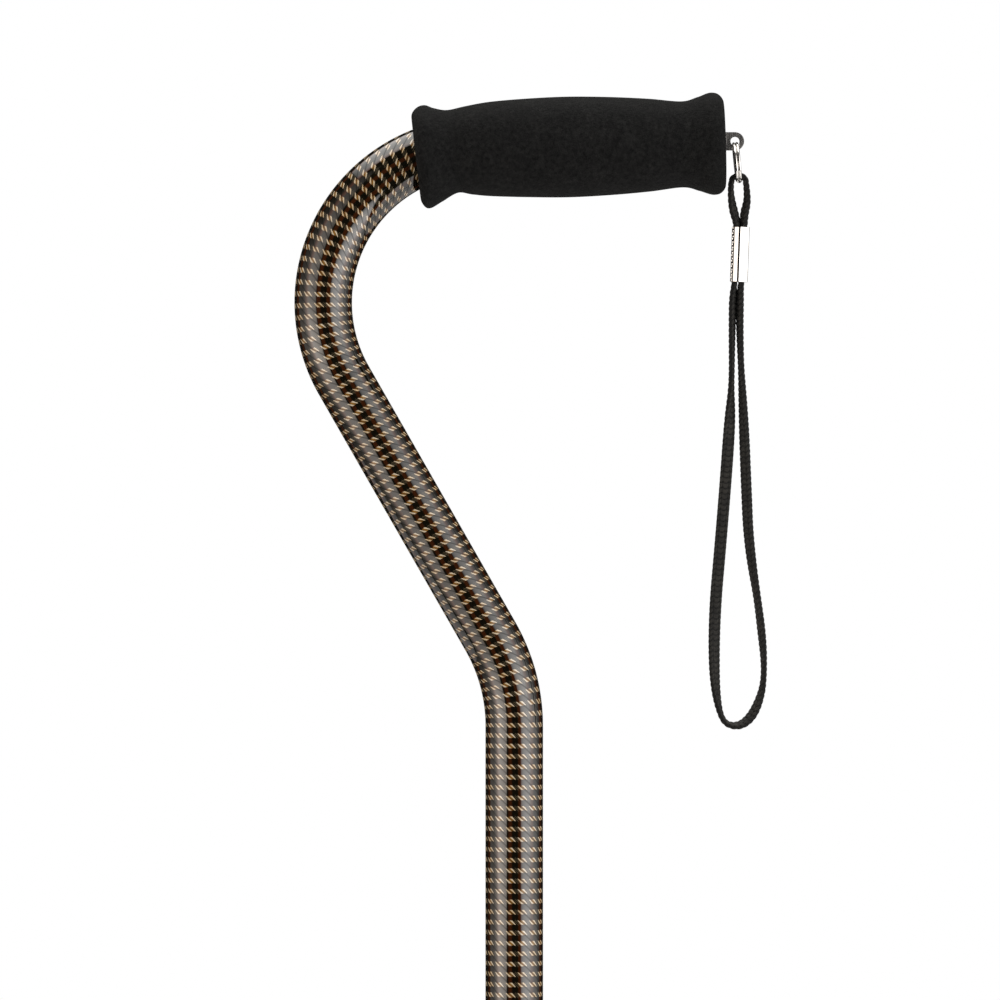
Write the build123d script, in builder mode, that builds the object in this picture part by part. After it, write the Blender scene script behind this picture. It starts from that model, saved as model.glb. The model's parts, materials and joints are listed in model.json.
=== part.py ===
from build123d import *
from math import cos, pi, radians, sin, tan
import os

# A walking cane with an offset foam handle, a wrist strap, a telescoping height
# adjustment and a small four-footed base that turns for either hand.
# Frame: the origin is on the floor below the shaft's axis, +Z is up, +X points the way
# the free end of the grip points, towards the user's back, and the longer legs are at +Y.

os.makedirs("parts", exist_ok=True)

# ---- driving dimensions, in millimetres and degrees ----
handle_height = 889.0        # floor to the top of the grip, with the button in hole 4

tube_radius = 11.1           # 7/8 inch handle tube
tube_wall = 1.25
elbow_depth = 224.3          # below the top of the grip, where shaft and slant meet
elbow_radius = 69.5
slant_angle = 29.8           # of the slanted run, from vertical
crook_radius = 60.5
crook_x = -13.2              # centre of the crook, forward of the shaft's axis
handle_depth = 19.05         # handle axis at crook_x, below the top of the grip
handle_rise = 1.3            # the handle run climbs by this angle to its free end
handle_end_x = 79.0
tube_reach = 613.6           # from the top of the grip to the tube's lower end

hole_pitch = 25.4
hole_count = 10
rest_hole = 4                # the lowest hole is number 0
first_hole_up = 28.0         # above the tube's lower end
hole_radius = 4.3

stem_radius = 9.525          # 3/4 inch stem
stem_wall = 1.2
stem_bottom = 66.0
stem_above_button = 45.0

button_radius = 3.95
button_proud = 3.5           # above the tube that it locks
flange_radius = 5.0
flange_inner_x = 5.5
flange_outer_x = 6.4
spring_thickness = 0.8
spring_width = 7.0
spring_length = 38.0
spring_far_x = -7.0          # the spring's second leaf, near the stem's far wall

base_button_z = 100.0
socket_top = 124.0
leg_radius = 7.94            # 5/8 inch leg tube
leg_wall = 1.5
leg_bend = 25.0
crown_z = 70.0
crown_x = 38.0               # corner between the level crown run and the sloping run
ankle_z = 52.0               # corner between the sloping run and the upright run
leg_end_z = 10.0
inner_foot = (78.0, -46.0)   # the pair of feet on the user's side
outer_foot = (88.0, 84.0)    # the pair that reaches further out
plate_length = 44.0
plate_width = 60.0
plate_thickness = 3.0
bolt_x = 16.5
bolt_radius = 2.5
hex_radius = 4.6

lug_hole_x = 85.1
lug_hole_depth = 17.4        # below the top of the grip
lug_hole_radius = 1.75
lug_half_height = 3.5
lug_thickness = 1.9
ring_radius = 7.0            # to the middle of the wire
wire_radius = 0.56
ring_tilt = 6.0              # the ring hangs with its lower side out from the grip
strap_thickness = 2.4
strap_width = 5.0

running_gap = 0.3            # between pieces that move past each other
close_gap = 0.05             # between pieces that stay together

# ---- derived places ----
tube_bottom = handle_height - tube_reach
tube_bore = tube_radius - tube_wall
elbow_z = handle_height - elbow_depth
handle_z = handle_height - handle_depth
height_button_z = tube_bottom + first_hole_up + rest_hole * hole_pitch
stem_top = height_button_z + stem_above_button
stem_bore = stem_radius - stem_wall
crown_y = tube_radius + leg_radius + close_gap
bottom_plate_top = crown_z - leg_radius - close_gap
top_plate_bottom = crown_z + leg_radius + close_gap
top_plate_top = top_plate_bottom + plate_thickness
rise = tan(radians(handle_rise))
slant = tan(radians(slant_angle))
# the slanted line x = -slant * (z - elbow_z) meets the handle line here
apex_x = -slant * (handle_z - rise * crook_x - elbow_z) / (1 + slant * rise)
apex_z = handle_z + rise * (apex_x - crook_x)
lug_hole_z = handle_height - lug_hole_depth


def save(part, name):
    """Label a finished piece and write its STEP file."""
    part.label = name
    export_step(part, f"parts/{name}.step")


def across_handle(x, lower=0.0, lean=0.0):
    """The plane square to the handle line at x, moved down by lower and leaned back."""
    along = radians(handle_rise + lean)
    height = handle_z + rise * (x - crook_x) - lower
    return Plane(origin=(x, 0, height), x_dir=(0, 1, 0), z_dir=(cos(along), 0, sin(along)))


# ---- handle tube: shaft, elbow, slant, crook and handle run in one bent tube ----
handle_end_z = handle_z + rise * (handle_end_x - crook_x)
with BuildLine() as tube_run:
    FilletPolyline(
        (0, 0, tube_bottom),
        (0, 0, elbow_z),
        (apex_x, 0, apex_z),
        (handle_end_x, 0, handle_end_z),
        radius=(elbow_radius, crook_radius),
    )

with BuildPart() as upper_tube:
    with BuildSketch(Plane.XY.offset(tube_bottom)):
        Circle(tube_radius)
        Circle(tube_bore, mode=Mode.SUBTRACT)
    sweep(path=tube_run.line)
    row_middle = tube_bottom + first_hole_up + (hole_count - 1) / 2 * hole_pitch
    with BuildSketch(Plane.YZ):
        with Locations((0, row_middle)):
            with GridLocations(0, hole_pitch, 1, hole_count):
                Circle(hole_radius)
    extrude(amount=2 * tube_radius, mode=Mode.SUBTRACT)
save(upper_tube.part, "upper_tube")

# ---- foam grip: a flare at each end, a waist beside each, a swelling for the palm ----
# place along X, radius, how far the foam's middle hangs below the tube's axis, and the
# lean of the section, which follows the bend of the tube at the front end
grip_sections = [
    (-37.9, 18.9, 4.2, 5.2),
    (-33.6, 19.9, 3.8, 2.6),
    (-29.4, 18.1, 3.2, 4.0),
    (-23.8, 16.1, 2.0, 6.2),
    (-17.4, 17.1, 1.7, 3.0),
    (-9.0, 18.2, 1.4, 0.0),
    (5.0, 19.0, 1.3, 0.0),
    (20.7, 19.4, 1.3, 0.0),
    (37.0, 18.9, 1.3, 0.0),
    (52.0, 17.9, 1.3, 0.0),
    (64.7, 16.6, 1.3, 0.0),
    (71.0, 18.1, 1.3, 0.0),
    (76.2, 19.7, 1.3, 0.4),
    (81.2, 18.8, 1.4, 0.4),
]
grip_edge = 3.2
plug_flange = 1.6
with BuildPart() as foam_grip:
    for place_x, section_radius, lower, lean in grip_sections:
        with BuildSketch(across_handle(place_x, lower, lean)):
            Circle(section_radius)
    loft()
    fillet(foam_grip.faces().filter_by(GeomType.PLANE).edges(), radius=grip_edge)
    with BuildSketch(Plane.XY.offset(tube_bottom)):
        Circle(tube_radius + close_gap)
    sweep(path=tube_run.line, mode=Mode.SUBTRACT)
    with BuildSketch(across_handle(handle_end_x)):
        Circle(tube_radius + close_gap)
    extrude(amount=plug_flange + close_gap, mode=Mode.SUBTRACT)
    with BuildSketch(Plane.XZ):
        with Locations((handle_end_x, lug_hole_z)):
            Rectangle(20, 2 * lug_half_height + 4 * close_gap)
    extrude(amount=lug_thickness / 2 + 2 * close_gap, both=True, mode=Mode.SUBTRACT)
save(foam_grip.part, "foam_grip")

# ---- plug that closes the free end of the handle tube and holds the lug ----
plug_depth = 14.0
with BuildPart() as handle_end_plug:
    with BuildSketch(across_handle(handle_end_x)):
        Circle(tube_radius)
    extrude(amount=plug_flange)
    with BuildSketch(across_handle(handle_end_x)):
        Circle(tube_bore - close_gap)
    extrude(amount=-plug_depth)
    with BuildSketch(Plane.XZ):
        with Locations((handle_end_x, lug_hole_z)):
            Rectangle(3 * plug_depth, 2 * (lug_half_height + close_gap))
    extrude(amount=lug_thickness / 2 + close_gap, both=True, mode=Mode.SUBTRACT)
save(handle_end_plug.part, "handle_end_plug")

# ---- lug: a flat steel eye through the plug, kept by a pin behind it ----
pin_radius = 1.2
pin_x = handle_end_x - plug_depth - pin_radius - 0.4
tail_x = pin_x - 3.0
with BuildPart() as strap_lug:
    with BuildSketch(Plane.XZ):
        with Locations(((tail_x + lug_hole_x) / 2, lug_hole_z)):
            Rectangle(lug_hole_x - tail_x, 2 * lug_half_height)
        with Locations((lug_hole_x, lug_hole_z)):
            Circle(lug_half_height)
            Circle(lug_hole_radius, mode=Mode.SUBTRACT)
        with Locations((pin_x, lug_hole_z)):
            Circle(pin_radius + close_gap, mode=Mode.SUBTRACT)
    extrude(amount=lug_thickness / 2, both=True)
save(strap_lug.part, "strap_lug")

with BuildPart() as lug_pin:
    with BuildSketch(Plane.XZ):
        with Locations((pin_x, lug_hole_z)):
            Circle(pin_radius)
    extrude(amount=6.5, both=True)
    chamfer(lug_pin.edges(), length=0.3)
save(lug_pin.part, "lug_pin")

# ---- split ring: two turns of wire side by side, through the lug's eye ----
hang = ring_radius + 0.9
ring_middle = Vector(
    lug_hole_x + hang * sin(radians(ring_tilt)),
    0,
    lug_hole_z - hang * cos(radians(ring_tilt)),
)
ring_plane = Plane(
    origin=ring_middle,
    x_dir=(cos(radians(ring_tilt)), 0, sin(radians(ring_tilt))),
    z_dir=(0, -1, 0),
)
with BuildPart() as split_ring:
    with BuildSketch(ring_plane):
        for side in (-1, 1):
            with Locations((side * 0.95 * wire_radius, ring_radius)):
                Circle(wire_radius)
    revolve(axis=Axis(ring_middle, ring_plane.x_dir))
save(split_ring.part, "split_ring")

# ---- wrist strap: one flat braid, folded over the ring and closed in the ferrule ----
# X and Z of the route: up from inside the ferrule, over the ring, down through the
# ferrule, round the wrist loop and back into the ferrule
strap_route = [
    (88.35, 828.4),
    (88.85, 840.0),
    (89.75, 847.0),
    (89.75, 853.6),
    (89.3, 860.6),
    (83.9, 860.7),
    (83.6, 853.4),
    (83.75, 847.0),
    (86.0, 840.2),
    (85.25, 816.0),
    (83.9, 800.0),
    (83.7, 775.0),
    (80.9, 738.0),
    (78.2, 702.0),
    (76.8, 672.0),
    (78.9, 651.5),
    (85.4, 645.2),
    (92.4, 648.4),
    (96.8, 664.5),
    (94.9, 689.0),
    (90.6, 716.0),
    (89.3, 755.0),
    (87.3, 792.0),
    (87.5, 812.0),
    (88.25, 826.6),
]


def corner_radii(points):
    """For each corner, the radius that uses 0.45 of its shorter run."""
    radii = []
    for before, corner, after in zip(points, points[1:], points[2:]):
        arriving = Vector(*corner) - Vector(*before)
        leaving = Vector(*after) - Vector(*corner)
        half_turn = radians(arriving.get_angle(leaving)) / 2
        radii.append(0.45 * min(arriving.length, leaving.length) / tan(half_turn))
    return radii


strap_points = [(x, 0, z) for x, z in strap_route]
strap_radii = corner_radii(strap_points)
with BuildLine() as strap_line:
    FilletPolyline(*strap_points, radius=strap_radii)
strap_start = strap_line.line @ 0
strap_length = strap_line.wire().length
strap_corner = 1.0
strap_section = strap_width * strap_thickness - (4 - pi) * strap_corner**2
with BuildPart() as wrist_strap:
    with BuildSketch(Plane(origin=strap_start, x_dir=(0, 1, 0), z_dir=strap_line.line % 0)):
        RectangleRounded(strap_width, strap_thickness, strap_corner)
    sweep(path=strap_line.line)
save(wrist_strap.part, "wrist_strap")
strap_volume_share = wrist_strap.part.volume / (strap_section * strap_length)
print("strap radii", [round(radius, 1) for radius in strap_radii])
print("strap length", round(strap_length, 1), "volume share", round(strap_volume_share, 4))

# ---- ferrule: a crimped oval sleeve round both strands of the strap ----
ferrule_length = 21.2
ferrule_middle = (87.0, 0, 828.0)
ferrule_lean = 2.2
ferrule_plane = Plane(
    origin=ferrule_middle,
    x_dir=(cos(radians(ferrule_lean)), 0, -sin(radians(ferrule_lean))),
    z_dir=(sin(radians(ferrule_lean)), 0, cos(radians(ferrule_lean))),
)
with BuildPart() as strap_ferrule:
    with BuildSketch(ferrule_plane):
        RectangleRounded(6.5, 6.6, 2.0)
        RectangleRounded(5.5, 5.5, 1.0, mode=Mode.SUBTRACT)
    extrude(amount=ferrule_length / 2, both=True)
save(strap_ferrule.part, "strap_ferrule")

# ---- collet sleeve: pressed over the tube's lower end, it takes the locking collar ----
sleeve_radius = 12.9
collet_radius = 12.0
collet_drop = 9.0
sleeve_top = tube_bottom + first_hole_up - hole_radius - 1.7    # clear of the lowest button hole
with BuildPart() as collet_sleeve:
    with BuildSketch(Plane.XY.offset(tube_bottom)):
        Circle(sleeve_radius)
        Circle(tube_radius + close_gap, mode=Mode.SUBTRACT)
    extrude(amount=sleeve_top - tube_bottom)
    with BuildSketch(Plane.XY.offset(tube_bottom - collet_drop)):
        Circle(collet_radius)
        Circle(stem_radius + running_gap, mode=Mode.SUBTRACT)
    extrude(amount=collet_drop)
    with BuildSketch(Plane.XY.offset(tube_bottom - collet_drop)):
        Rectangle(30, 1.2)
        Rectangle(1.2, 30)
    extrude(amount=collet_drop - 1.5, mode=Mode.SUBTRACT)
    top_rim = collet_sleeve.edges().filter_by(GeomType.CIRCLE).group_by(Axis.Z)[-1]
    fillet(top_rim.sort_by(SortBy.RADIUS)[-1], radius=1.0)
save(collet_sleeve.part, "collet_sleeve")

# ---- locking collar: a ribbed ring that closes the collet on the stem ----
collar_radius = 15.6
collar_bottom = tube_bottom - 12.5
collar_top = tube_bottom + 14.0
rib_count = 24
with BuildPart() as locking_collar:
    with BuildSketch(Plane.XY.offset(collar_bottom)):
        Circle(collar_radius)
    extrude(amount=collar_top - collar_bottom)
    fillet(locking_collar.edges().group_by(Axis.Z)[0], radius=2.5)
    fillet(locking_collar.edges().group_by(Axis.Z)[-1], radius=1.2)
    with BuildSketch(Plane.XY.offset(collar_bottom)):
        Circle(stem_radius + running_gap + 0.1)
    extrude(amount=collar_top - collar_bottom, mode=Mode.SUBTRACT)
    with BuildSketch(Plane.XY.offset(tube_bottom - collet_drop - running_gap)):
        Circle(collet_radius + running_gap)
    extrude(amount=2 * collet_drop, mode=Mode.SUBTRACT)
    with BuildSketch(Plane.XY.offset(tube_bottom - running_gap)):
        Circle(sleeve_radius + running_gap)
    extrude(amount=collar_top, mode=Mode.SUBTRACT)
    with BuildSketch(Plane.XY.offset(collar_bottom + 4.5)):
        with PolarLocations(collar_radius + 0.5, rib_count):
            Circle(1.2)
    extrude(amount=collar_top - collar_bottom - 8.0, mode=Mode.SUBTRACT)
save(locking_collar.part, "locking_collar")

# ---- stem: slides in the handle tube above and turns in the base socket below ----
with BuildPart() as inner_stem:
    with BuildSketch(Plane.XY.offset(stem_bottom)):
        Circle(stem_radius)
        Circle(stem_bore, mode=Mode.SUBTRACT)
    extrude(amount=stem_top - stem_bottom)
    with BuildSketch(Plane.YZ):
        with Locations((0, height_button_z), (0, base_button_z)):
            Circle(hole_radius - close_gap)
    extrude(amount=2 * stem_radius, mode=Mode.SUBTRACT)
save(inner_stem.part, "inner_stem")

with BuildPart() as stem_top_bush:
    with BuildSketch(Plane.XY.offset(stem_top - 10)):
        Circle(stem_bore - close_gap)
    extrude(amount=10)
    with BuildSketch(Plane.XY.offset(stem_top)):
        Circle(tube_bore - running_gap)
    extrude(amount=3)
    chamfer(stem_top_bush.edges().group_by(Axis.Z)[-1], length=0.8)
    with BuildSketch(Plane.XY.offset(stem_top - 10)):
        Circle(5.5)
    extrude(amount=13, mode=Mode.SUBTRACT)
save(stem_top_bush.part, "stem_top_bush")

with BuildPart() as stem_bottom_plug:
    with BuildSketch(Plane.XY.offset(stem_bottom - 3)):
        Circle(stem_radius)
    extrude(amount=3)
    chamfer(stem_bottom_plug.edges().group_by(Axis.Z)[0], length=0.8)
    with BuildSketch(Plane.XY.offset(stem_bottom)):
        Circle(stem_bore - close_gap)
    extrude(amount=9)
save(stem_bottom_plug.part, "stem_bottom_plug")


def snap_button(name, button_z):
    """A flanged button that locks a tube to the stem through their holes."""
    with BuildPart() as button:
        with BuildSketch(Plane.YZ.offset(flange_inner_x)):
            with Locations((0, button_z)):
                Circle(flange_radius)
        extrude(amount=flange_outer_x - flange_inner_x)
        with BuildSketch(Plane.YZ.offset(flange_outer_x)):
            with Locations((0, button_z)):
                Circle(button_radius)
        extrude(amount=tube_radius + button_proud - flange_outer_x)
        fillet(button.edges().group_by(Axis.X)[-1], radius=1.6)
    save(button.part, name)


def button_spring(name, button_z, fold_up):
    """A folded leaf behind a button: one leaf carries it, the other backs on the stem."""
    near_x = flange_inner_x - spring_thickness / 2 - 0.02
    fold_z = button_z + fold_up * spring_length
    far_end_z = button_z + fold_up * 4
    with BuildPart() as leaf:
        with BuildLine() as leaf_line:
            FilletPolyline(
                (near_x, 0, button_z - fold_up * 5),
                (near_x, 0, button_z + fold_up * 6),
                (1.6, 0, fold_z),
                (-1.6, 0, fold_z),
                (spring_far_x, 0, far_end_z),
                radius=(12, 1.2, 1.2),
            )
        with BuildSketch(Plane(origin=leaf_line.line @ 0, z_dir=leaf_line.line % 0)):
            Rectangle(spring_thickness, spring_width)
        sweep(path=leaf_line.line)
    save(leaf.part, name)


snap_button("height_button", height_button_z)
snap_button("base_button", base_button_z)
button_spring("height_button_spring", height_button_z, -1)
button_spring("base_button_spring", base_button_z, 1)

# ---- base socket: the stem stands in it, with a button hole for either hand ----
with BuildPart() as base_socket:
    with BuildSketch(Plane.XY.offset(bottom_plate_top)):
        Circle(tube_radius)
        Circle(tube_bore, mode=Mode.SUBTRACT)
    extrude(amount=socket_top - bottom_plate_top)
    with BuildSketch(Plane.YZ):
        with Locations((0, base_button_z)):
            Circle(hole_radius)
    extrude(amount=2 * tube_radius, both=True, mode=Mode.SUBTRACT)
save(base_socket.part, "base_socket")

with BuildPart() as socket_cap:
    with BuildSketch(Plane.XY.offset(socket_top - 9)):
        Circle(tube_radius + 1.9)
        Circle(tube_radius + close_gap, mode=Mode.SUBTRACT)
    extrude(amount=9)
    with BuildSketch(Plane.XY.offset(socket_top)):
        Circle(tube_radius + 1.9)
        Circle(stem_radius + running_gap, mode=Mode.SUBTRACT)
    extrude(amount=2.5)
    cap_rim = socket_cap.edges().filter_by(GeomType.CIRCLE).group_by(Axis.Z)[-1]
    fillet(cap_rim.sort_by(SortBy.RADIUS)[-1], radius=1.4)
save(socket_cap.part, "socket_cap")


# ---- base frame: two plates clamp the crowns of the two leg tubes ----
def clamp_plate(name, bottom_z, socket_hole):
    """A stamped plate with two bolt holes and, if asked for, the socket's hole."""
    with BuildPart() as plate:
        with BuildSketch(Plane.XY.offset(bottom_z)):
            RectangleRounded(plate_length, plate_width, 6)
            with Locations((bolt_x, 0), (-bolt_x, 0)):
                Circle(bolt_radius + 0.2, mode=Mode.SUBTRACT)
            if socket_hole:
                Circle(tube_radius + close_gap, mode=Mode.SUBTRACT)
        extrude(amount=plate_thickness)
        chamfer(plate.faces().sort_by(Axis.Z)[-1].outer_wire().edges(), length=0.6)
    save(plate.part, name)


clamp_plate("base_top_plate", top_plate_bottom, True)
clamp_plate("base_bottom_plate", bottom_plate_top - plate_thickness, False)


def leg_tube(name, foot, crown_side_y):
    """One bow of tube that makes two legs: foot, slope, crown, slope, foot."""
    foot_x, foot_y = foot
    with BuildPart() as leg:
        with BuildLine() as bow:
            FilletPolyline(
                (-foot_x, foot_y, leg_end_z),
                (-foot_x, foot_y, ankle_z),
                (-crown_x, crown_side_y, crown_z),
                (crown_x, crown_side_y, crown_z),
                (foot_x, foot_y, ankle_z),
                (foot_x, foot_y, leg_end_z),
                radius=leg_bend,
            )
        with BuildSketch(Plane(origin=bow.line @ 0, z_dir=bow.line % 0)):
            Circle(leg_radius)
            Circle(leg_radius - leg_wall, mode=Mode.SUBTRACT)
        sweep(path=bow.line)
    section = pi * (leg_radius**2 - (leg_radius - leg_wall) ** 2)
    print(name, "volume share", round(leg.part.volume / (section * bow.wire().length), 4))
    save(leg.part, name)


leg_tube("inner_leg_tube", inner_foot, -crown_y)
leg_tube("outer_leg_tube", outer_foot, crown_y)

# ---- bolts, washers and nuts through both plates, between the crowns ----
washer_thickness = 1.0
nut_height = 4.0
washer_z = bottom_plate_top - plate_thickness - washer_thickness
nut_z = washer_z - nut_height
bolt_end_z = nut_z - 1.5
with BuildPart() as base_bolts:
    with BuildSketch(Plane.XY.offset(bolt_end_z)):
        with Locations((bolt_x, 0), (-bolt_x, 0)):
            Circle(bolt_radius)
    extrude(amount=top_plate_top - bolt_end_z)
    with BuildSketch(Plane.XY.offset(top_plate_top)):
        with Locations((bolt_x, 0), (-bolt_x, 0)):
            RegularPolygon(hex_radius, 6)
    extrude(amount=3.5)
save(base_bolts.part, "base_bolts")

with BuildPart() as base_nuts:
    with BuildSketch(Plane.XY.offset(nut_z)):
        with Locations((bolt_x, 0), (-bolt_x, 0)):
            RegularPolygon(hex_radius, 6)
            Circle(bolt_radius + close_gap, mode=Mode.SUBTRACT)
    extrude(amount=nut_height)
save(base_nuts.part, "base_nuts")

with BuildPart() as base_washers:
    with BuildSketch(Plane.XY.offset(washer_z)):
        with Locations((bolt_x, 0), (-bolt_x, 0)):
            Circle(5.0)
            Circle(bolt_radius + 0.2, mode=Mode.SUBTRACT)
    extrude(amount=washer_thickness)
save(base_washers.part, "base_washers")

# ---- rubber tips, with a steel washer inside each under the tube's end ----
tip_height = 31.0
tip_floor = 8.0
tip_places = {
    "front_inner_tip": (-inner_foot[0], inner_foot[1]),
    "rear_inner_tip": inner_foot,
    "front_outer_tip": (-outer_foot[0], outer_foot[1]),
    "rear_outer_tip": outer_foot,
}
for tip_name, (tip_x, tip_y) in tip_places.items():
    with BuildPart() as tip:
        with BuildSketch(Plane(origin=(tip_x, tip_y, 0), x_dir=(1, 0, 0), z_dir=(0, -1, 0))):
            with BuildLine():
                Polyline(
                    (leg_radius + close_gap, tip_floor),
                    (0, tip_floor),
                    (0, 0),
                    (14.0, 0),
                    (15.5, 1.5),
                    (14.6, 7.5),
                    (11.6, 10.5),
                    (10.5, tip_height - 1),
                    (9.6, tip_height),
                    (leg_radius + close_gap, tip_height),
                    close=True,
                )
            make_face()
            for groove_z in (14.0, 18.0, 22.0):
                with Locations((11.9 - 0.06 * (groove_z - 10.5), groove_z)):
                    Circle(0.9, mode=Mode.SUBTRACT)
        revolve(axis=Axis((tip_x, tip_y, 0), (0, 0, 1)))
    save(tip.part, tip_name)

with BuildPart() as tip_washers:
    with BuildSketch(Plane.XY.offset(tip_floor)):
        with Locations(*tip_places.values()):
            Circle(leg_radius - 0.2)
    extrude(amount=leg_end_z - tip_floor)
save(tip_washers.part, "tip_washers")
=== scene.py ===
import json
import math

import bpy
import numpy as np
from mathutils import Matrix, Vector


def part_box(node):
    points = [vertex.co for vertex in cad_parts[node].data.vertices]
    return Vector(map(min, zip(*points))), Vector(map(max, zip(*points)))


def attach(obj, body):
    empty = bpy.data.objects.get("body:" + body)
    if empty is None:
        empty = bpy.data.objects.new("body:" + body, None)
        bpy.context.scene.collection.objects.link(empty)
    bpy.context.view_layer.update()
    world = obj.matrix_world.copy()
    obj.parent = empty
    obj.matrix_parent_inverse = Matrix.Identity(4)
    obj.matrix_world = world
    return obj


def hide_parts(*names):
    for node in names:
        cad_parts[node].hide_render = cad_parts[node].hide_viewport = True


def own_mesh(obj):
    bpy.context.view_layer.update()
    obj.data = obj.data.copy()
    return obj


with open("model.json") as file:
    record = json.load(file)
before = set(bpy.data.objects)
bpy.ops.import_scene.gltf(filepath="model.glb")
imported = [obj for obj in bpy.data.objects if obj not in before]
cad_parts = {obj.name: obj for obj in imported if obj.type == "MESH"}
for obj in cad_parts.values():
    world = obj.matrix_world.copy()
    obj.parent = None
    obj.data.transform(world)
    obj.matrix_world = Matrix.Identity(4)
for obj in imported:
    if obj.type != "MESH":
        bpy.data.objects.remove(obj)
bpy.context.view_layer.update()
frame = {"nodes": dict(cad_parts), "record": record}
nodes = frame["nodes"]
MM = 0.001
SHARP_EDGE = math.radians(40)

# ---- places and sizes, from the frame ----
tube_low, tube_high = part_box("upper_tube")
socket_low, socket_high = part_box("base_socket")
ferrule_low, ferrule_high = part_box("strap_ferrule")
ring_low, ring_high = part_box("split_ring")
tube_radius = (socket_high.x - socket_low.x) / 2
wall = 1.25 * MM

# the tube's centre line, as in its CAD source; its highest point is the end of the handle run,
# and the two depths are from the top of the grip
elbow_radius = 69.5 * MM
elbow_depth = 224.3 * MM
slant = math.radians(29.8)
crook_radius = 60.5 * MM
crook_x = -13.2 * MM
handle_depth = 19.05 * MM
handle_rise = math.radians(1.3)
handle_end = 79.0 * MM
end_rise = (handle_end - crook_x) * math.tan(handle_rise)
handle_z = tube_high.z - tube_radius * math.cos(handle_rise) - end_rise
handle_top = handle_z + handle_depth
elbow_z = handle_top - elbow_depth
elbow_start = elbow_z - elbow_radius * math.tan(slant / 2)
slant_x = -elbow_radius * (1 - math.cos(slant))
slant_z = elbow_start + elbow_radius * math.sin(slant)
crook_turn = math.pi / 2 + slant - handle_rise
apex_drop = handle_z - math.tan(handle_rise) * crook_x - elbow_z
apex_x = -math.tan(slant) * apex_drop / (1 + math.tan(slant) * math.tan(handle_rise))
slant_length = (slant_x - apex_x) / math.sin(slant) - crook_radius * math.tan(crook_turn / 2)


# ---- camera, square to the plane of the bend ----
def make_camera():
    """A long lens level with the slanted run, which sees the handle and the top of the shaft."""
    frame_width = 385.6 * MM
    distance = 3.0
    aim_x = -5.5 * MM
    aim_depth = 155.7 * MM
    data = bpy.data.cameras.new("camera")
    data.sensor_width = 36.0
    data.lens = data.sensor_width * distance / frame_width
    camera = bpy.data.objects.new("camera", data)
    camera.location = (aim_x, -distance, handle_top - aim_depth)
    camera.rotation_euler = (math.radians(90), 0, 0)
    bpy.context.scene.collection.objects.link(camera)
    bpy.context.scene.camera = camera


make_camera()


# ---- mesh helpers ----
def new_piece(name, points, faces, body):
    """A smooth-shaded mesh object from points and faces, riding on a CAD body."""
    mesh = bpy.data.meshes.new(name)
    mesh.from_pydata([tuple(p) for p in points], [], faces)
    mesh.update()
    for face in mesh.polygons:
        face.use_smooth = True
    piece = bpy.data.objects.new(name, mesh)
    bpy.context.scene.collection.objects.link(piece)
    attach(piece, body)
    return piece


def tube_faces(rings, around, closed_ends=True, start=0):
    """Quads between rings of points, and one face over each end unless the ends are open."""
    faces = []
    for i in range(rings - 1):
        for j in range(around):
            a = start + i * around + j
            b = start + i * around + (j + 1) % around
            faces.append((a, b, b + around, a + around))
    if closed_ends:
        faces.append(tuple(start + j for j in reversed(range(around))))
        faces.append(tuple(start + (rings - 1) * around + j for j in range(around)))
    return faces


def spline_points(route, steps):
    """Points along the smooth spline whose control points are the route, some steps for each."""
    curve = bpy.data.curves.new("route", "CURVE")
    curve.dimensions = "3D"
    spline = curve.splines.new("NURBS")
    spline.points.add(len(route) - 1)
    for point, place in zip(spline.points, route):
        point.co = (*place, 1.0)
    spline.order_u = 3
    spline.use_endpoint_u = True
    spline.resolution_u = steps
    holder = bpy.data.objects.new("route", curve)
    bpy.context.scene.collection.objects.link(holder)
    graph = bpy.context.evaluated_depsgraph_get()
    line = bpy.data.meshes.new_from_object(holder.evaluated_get(graph))
    points = np.array([v.co for v in line.vertices], float)
    bpy.data.objects.remove(holder)
    return points


def evenly(points, step):
    """The same line with its points a fixed step apart, and how far along each one is."""
    lengths = np.linalg.norm(np.diff(points, axis=0), axis=1)
    along = np.concatenate([[0.0], np.cumsum(lengths)])
    count = int(round(along[-1] / step)) + 1
    places = np.linspace(0.0, along[-1], count)
    line = np.stack([np.interp(places, along, points[:, k]) for k in range(3)], axis=1)
    return line, places


# ---- tube: a swept wall with the row of button holes ----
def tube_stations(hole_rows):
    """Places and headings along the centre line; a heading turns from +Z towards -X."""
    last_row, shaft_steps = hole_rows[-1], 12
    above = [last_row + (elbow_start - last_row) * k / shaft_steps for k in range(1, shaft_steps + 1)]
    stations = [(0.0, z, 0.0) for z in [tube_low.z] + hole_rows + above]

    def straight(length, steps):
        x, z, heading = stations[-1]
        for k in range(1, steps + 1):
            step = length * k / steps
            stations.append((x - step * math.sin(heading), z + step * math.cos(heading), heading))

    def bend(radius, turn, steps):
        """An arc; a positive turn is towards -X."""
        x, z, heading = stations[-1]
        way = math.copysign(radius, turn)
        for k in range(1, steps + 1):
            h = heading + turn * k / steps
            stations.append((x - way * (math.cos(heading) - math.cos(h)),
                             z + way * (math.sin(h) - math.sin(heading)), h))

    bend(elbow_radius, slant, steps=32)
    straight(slant_length, steps=16)
    bend(crook_radius, -crook_turn, steps=96)
    straight((handle_end - stations[-1][0]) / math.cos(handle_rise), steps=12)
    return stations


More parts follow.
